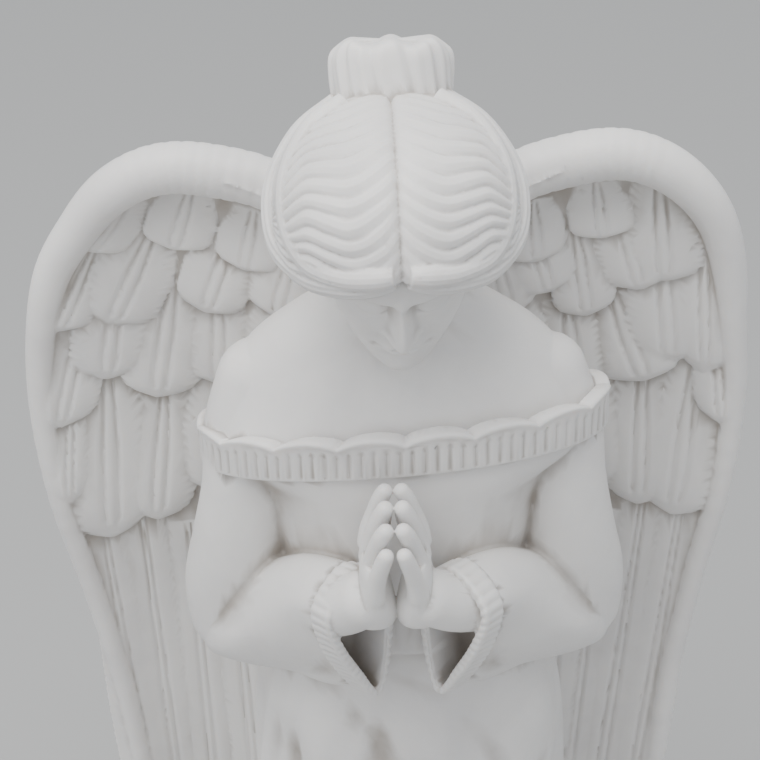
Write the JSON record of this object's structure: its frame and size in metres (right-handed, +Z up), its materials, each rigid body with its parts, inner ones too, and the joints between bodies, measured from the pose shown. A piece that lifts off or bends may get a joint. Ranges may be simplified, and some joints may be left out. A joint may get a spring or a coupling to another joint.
{
  "type": "cemetery angel statue",
  "caption": "Standing marble angel with bowed head, praying hands, bell sleeves, a frilled off-shoulder band and folded feathered wings, carved in one piece with a low oval base.",
  "frame": {"origin": "middle of the flat underside of the oval base", "axes": "+Z up the figure to the bun, -Y the way the figure faces, +X towards the viewer's right when facing the figure"},
  "size_m": [0.4457, 0.2456, 0.9507],
  "materials": {
    "white_marble": "honed white marble, slightly warm, fine grain, soft sheen, brown-grey dust in the wing hollows"
  },
  "bodies": {
    "root": {"angel": "white_marble"}
  },
  "joints": []
}
